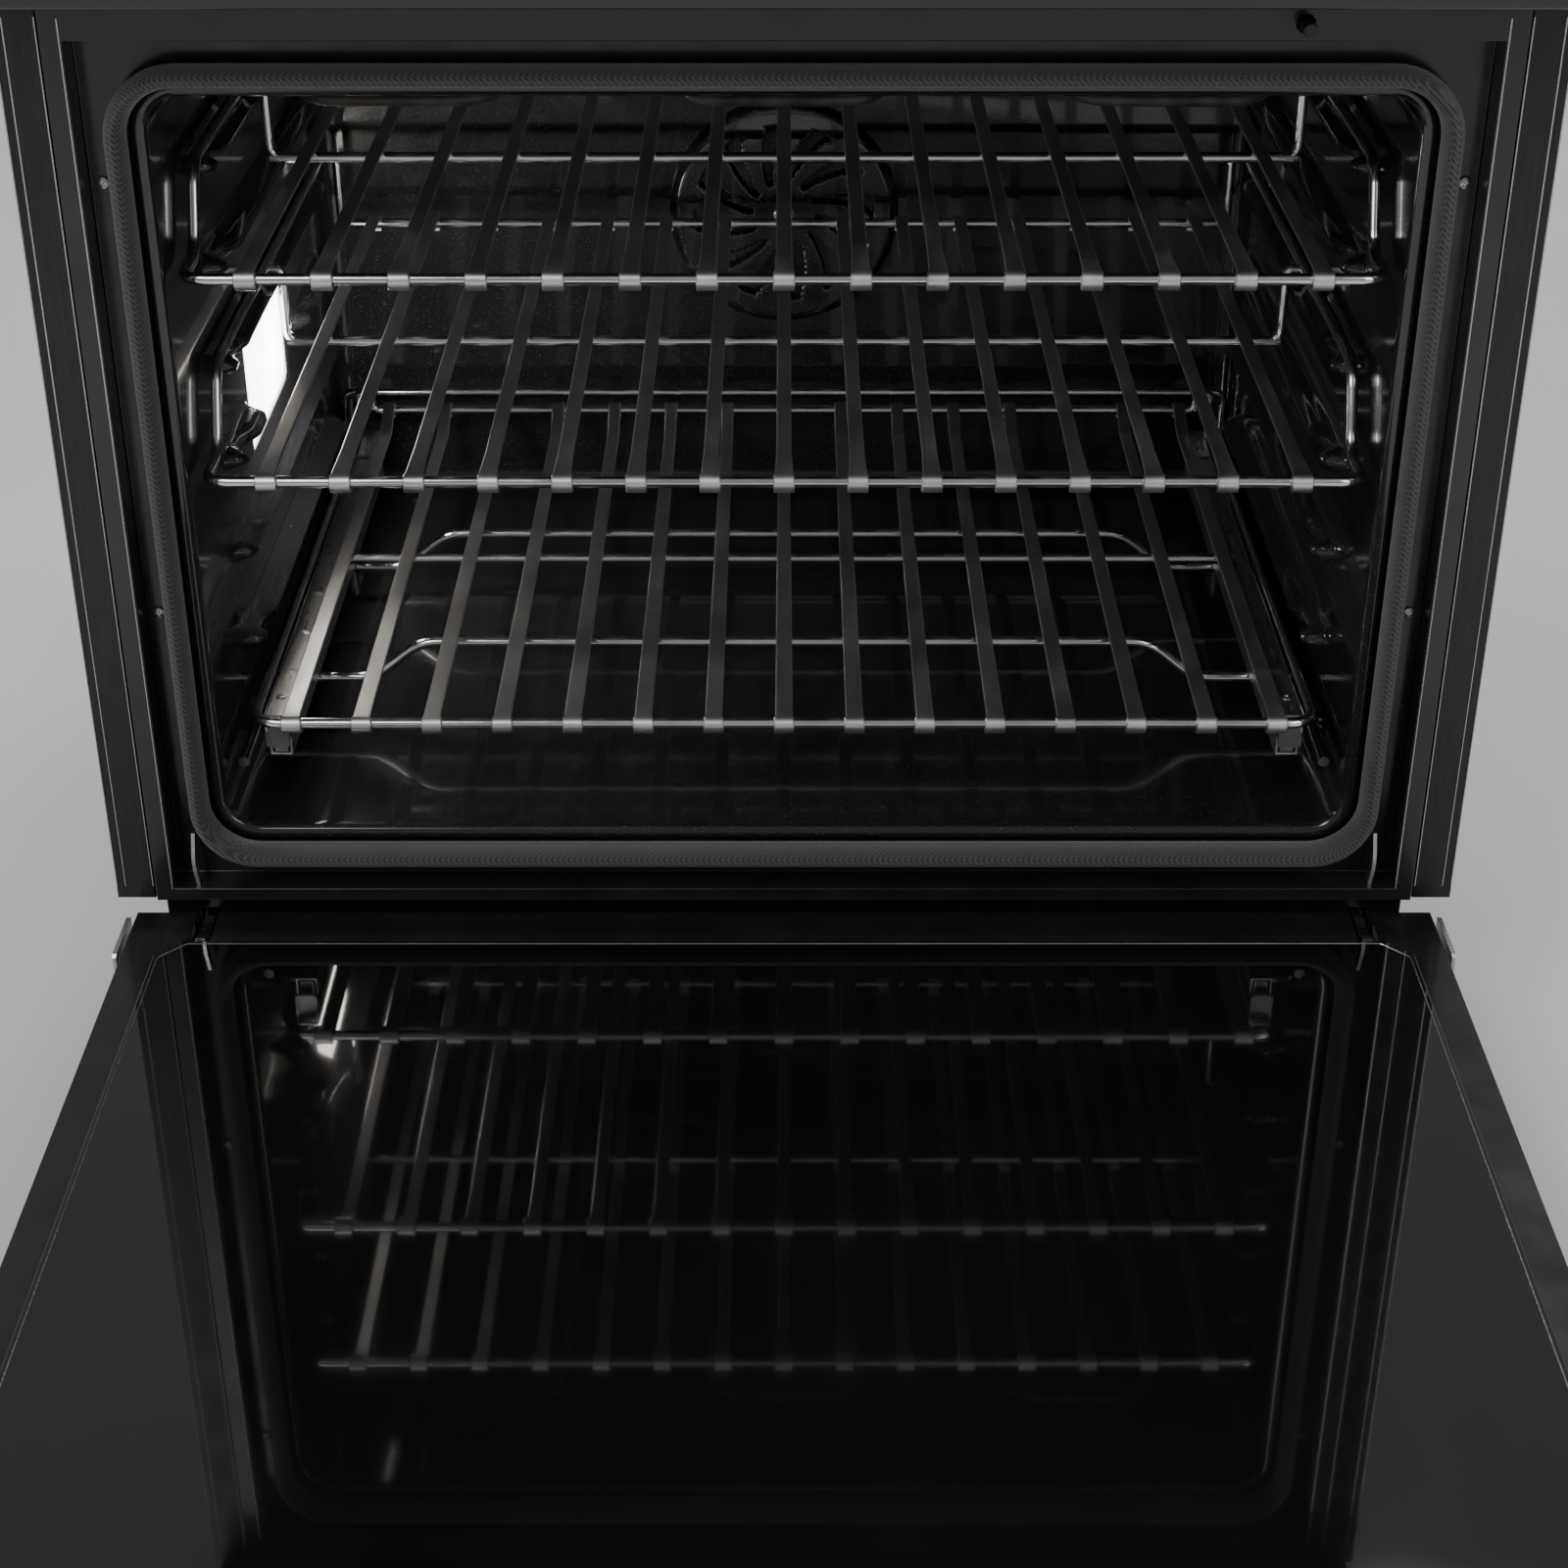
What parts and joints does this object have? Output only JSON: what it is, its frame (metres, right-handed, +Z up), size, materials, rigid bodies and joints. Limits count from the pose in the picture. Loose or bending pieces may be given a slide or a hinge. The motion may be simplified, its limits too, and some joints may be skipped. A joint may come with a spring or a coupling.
{
  "type": "wall oven",
  "caption": "Built-in wall oven with a drop-down door, a roll-out lower shelf on telescopic rails, wire-framed strap racks and a convection fan.",
  "frame": {"origin": "underside of the chassis, on the oven's middle line, in the plane of the cabinet's face", "axes": "+X to the right as the user faces the oven, +Y into the cabinet, +Z up"},
  "size_m": [0.762, 1.203, 0.735],
  "materials": {
    "galvanised_steel": "galvanised, dull, faint spangle",
    "bright_steel": "satin stainless steel",
    "cavity_enamel": "glossy dark vitreous enamel with fine light flecks",
    "frame_enamel": "black vitreous enamel, semi-gloss",
    "trim_paint": "dark grey satin paint",
    "black_glass": "black back-painted toughened glass, polished",
    "clear_glass": "clear glass",
    "braided_seal": "braided glass-fibre rope",
    "mineral_wool": "mineral wool",
    "element_sheath": "oxidised metal sheath, matte",
    "rack_nickel": "bright nickel plating",
    "rail_steel": "satin plated steel",
    "black_plastic": "moulded black plastic",
    "circuit_board": "green circuit board"
  },
  "bodies": {
    "oven": {"chassis_base": "galvanised_steel", "chassis_side_left": "galvanised_steel", "chassis_side_right": "galvanised_steel", "chassis_rear": "galvanised_steel", "chassis_top": "galvanised_steel", "bake_tray": "galvanised_steel", "lamp_housing": "galvanised_steel", "blower_housing": "galvanised_steel", "hinge_receiver_left": "galvanised_steel", "hinge_receiver_right": "galvanised_steel", "conduit_gland": "bright_steel", "convection_motor": "bright_steel", "temperature_sensor": "bright_steel", "hinge_arm_left": "bright_steel", "hinge_arm_right": "bright_steel", "cavity_liner": "cavity_enamel", "fan_cover": "cavity_enamel", "front_frame": "frame_enamel", "side_trim_left": "trim_paint", "side_trim_right": "trim_paint", "bottom_vent_trim": "trim_paint", "control_panel_housing": "trim_paint", "control_panel_glass": "black_glass", "lamp_lens": "clear_glass", "lamp_bulb": "clear_glass", "door_gasket": "braided_seal", "insulation_wrap": "mineral_wool", "insulation_rear": "mineral_wool", "broil_element": "element_sheath", "bake_element": "element_sheath", "convection_element": "element_sheath", "rollout_base_frame": "rack_nickel", "fixed_rail_left": "rail_steel", "fixed_rail_right": "rail_steel", "light_switch_body": "black_plastic", "control_board": "circuit_board"},
    "door": {"door_outer_glass": "black_glass", "door_pan": "frame_enamel", "door_middle_glass": "clear_glass", "door_inner_glass": "black_glass", "handle_bar": "bright_steel", "handle_bracket_left": "bright_steel", "handle_bracket_right": "bright_steel", "hinge_channel_left": "galvanised_steel", "hinge_channel_right": "galvanised_steel", "hinge_pin_left": "bright_steel", "hinge_pin_right": "bright_steel"},
    "rollout": {"rollout_shelf": "rack_nickel", "sliding_rail_left": "rail_steel", "sliding_rail_right": "rail_steel"},
    "middle_rails": {"middle_rail_left": "bright_steel", "middle_rail_right": "bright_steel"},
    "middle_rack_body": {"middle_rack_frame": "rack_nickel", "middle_rack_deck": "rack_nickel"},
    "top_rack_body": {"top_rack_frame": "rack_nickel", "top_rack_deck": "rack_nickel"},
    "fan": {"convection_fan": "bright_steel"},
    "blower": {"blower_wheel": "black_plastic"},
    "switch_plunger": {"light_switch_plunger": "black_plastic"}
  },
  "joints": [
    {"name": "door_hinge", "type": "hinge", "parent": "oven", "child": "door", "pos_m": [0, -0.06, 0.085], "axis": [1, 0, 0], "range_deg": [-90, 0]},
    {"name": "rollout_slide", "type": "slide", "parent": "oven", "child": "rollout", "axis": [0, -1, 0], "range_m": [0, 0.447]},
    {"name": "middle_rail_slide", "type": "slide", "parent": "oven", "child": "middle_rails", "axis": [0, -1, 0], "range_m": [0, 0.224]},
    {"name": "middle_rack_slide", "type": "slide", "parent": "oven", "child": "middle_rack_body", "axis": [0, -1, 0], "range_m": [0, 0.28]},
    {"name": "top_rack_slide", "type": "slide", "parent": "oven", "child": "top_rack_body", "axis": [0, -1, 0], "range_m": [0, 0.28]},
    {"name": "fan_spin", "type": "hinge", "parent": "oven", "child": "fan", "pos_m": [0, 0.48, 0.351], "axis": [0, 1, 0], "continuous": true},
    {"name": "blower_spin", "type": "hinge", "parent": "oven", "child": "blower", "pos_m": [0, 0.44, 0.662], "axis": [1, 0, 0], "continuous": true},
    {"name": "switch_press", "type": "slide", "parent": "oven", "child": "switch_plunger", "axis": [0, 1, 0], "range_m": [0, 0.006]}
  ],
  "couplings": [
    {"joint": "middle_rail_slide", "follows": "rollout_slide", "ratio": 0.5},
    {"joint": "switch_press", "follows": "door_hinge", "m_per_rad": -0.0038}
  ]
}
